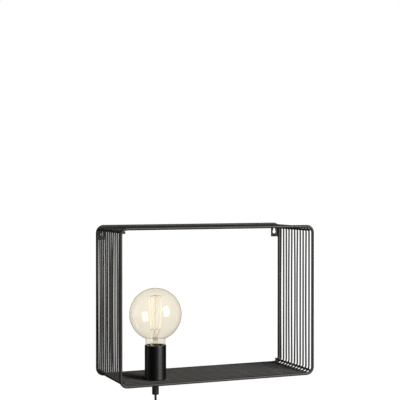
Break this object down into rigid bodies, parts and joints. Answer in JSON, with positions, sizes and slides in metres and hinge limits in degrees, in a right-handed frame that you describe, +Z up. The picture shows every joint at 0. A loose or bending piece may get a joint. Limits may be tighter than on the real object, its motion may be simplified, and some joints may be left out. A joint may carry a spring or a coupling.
{
  "type": "wall lamp with shelf",
  "caption": "Wall-hung rectangular basket of welded wire loops, with a lampholder and globe bulb on its shelf and a switched cord with plug.",
  "frame": {"origin": "midway between the round entries of the two keyholes, on the wall's face", "axes": "+Z up, +Y into the wall, +X to the right seen from the front"},
  "size_m": [0.385, 0.1498, 0.5102],
  "materials": {
    "frame_coat": "matt black powder coat",
    "cup_coat": "satin black paint",
    "insert_resin": "moulded",
    "shell_brass": "plain",
    "zinc_steel": "zinc plated",
    "black_nylon": "moulded",
    "cord_jacket": "extruded",
    "core_insulation": "extruded",
    "tie_plastic": "moulded",
    "switch_plastic": "moulded",
    "rocker_plastic": "polished",
    "plug_plastic": "moulded",
    "pin_metal": "nickel plated",
    "bulb_glass": "clear with a warm tint",
    "stem_glass": "clear",
    "cap_metal": "bright",
    "cap_glass": "black glass",
    "solder": "soldered",
    "filament": "pale strand",
    "support_wire": "drawn"
  },
  "bodies": {
    "lamp": {"back_loop": "frame_coat", "wire_loop_01": "frame_coat", "wire_loop_02": "frame_coat", "wire_loop_03": "frame_coat", "wire_loop_04": "frame_coat", "wire_loop_05": "frame_coat", "wire_loop_06": "frame_coat", "wire_loop_07": "frame_coat", "wire_loop_08": "frame_coat", "wire_loop_09": "frame_coat", "wire_loop_10": "frame_coat", "wire_loop_11": "frame_coat", "front_loop": "frame_coat", "upper_left_rod": "frame_coat", "upper_right_rod": "frame_coat", "lower_left_rod": "frame_coat", "lower_right_rod": "frame_coat", "left_keyhole_tab": "frame_coat", "right_keyhole_tab": "frame_coat", "holder_cup": "cup_coat", "socket_insert": "insert_resin", "screw_shell": "shell_brass", "centre_contact": "shell_brass", "terminal_blocks": "shell_brass", "terminal_screws": "zinc_steel", "threaded_nipple": "zinc_steel", "lock_nut": "zinc_steel", "cord_grip": "black_nylon", "grip_screw": "black_nylon", "cord_in_grip": "cord_jacket", "cord_cores": "core_insulation", "cord_drop": "cord_jacket", "switch_cover": "switch_plastic", "switch_base": "switch_plastic", "switch_screws": "zinc_steel", "cord_lead": "cord_jacket", "cord_coil": "cord_jacket", "coil_tie": "tie_plastic", "cord_tail": "cord_jacket", "plug_body": "plug_plastic", "plug_pin_left": "pin_metal", "plug_pin_right": "pin_metal"},
    "rocker": {"switch_rocker": "rocker_plastic"},
    "bulb_tip": {"tip_contact": "solder"},
    "bulb": {"bulb_glass": "bulb_glass", "bulb_cap": "cap_metal", "cap_insulator": "cap_glass", "bulb_stem": "stem_glass", "filament": "filament", "cage_supports": "support_wire", "lead_wires": "support_wire"}
  },
  "joints": [
    {"name": "bulb_lift", "type": "slide", "parent": "lamp", "child": "bulb_tip", "axis": [0, 0, 1], "range_m": [0, 0.0255]},
    {"name": "bulb_turn", "type": "hinge", "parent": "bulb_tip", "child": "bulb", "pos_m": [-0.1105, -0.10227, -0.1423], "axis": [0, 0, 1], "range_deg": [0, 2520]},
    {"name": "rocker_tilt", "type": "hinge", "parent": "lamp", "child": "rocker", "pos_m": [-0.1105, -0.10677, -0.3325], "axis": [1, 0, 0], "range_deg": [0, 14]}
  ],
  "couplings": [
    {"joint": "bulb_lift", "follows": "bulb_turn", "m_per_rad": 0.00057757}
  ]
}
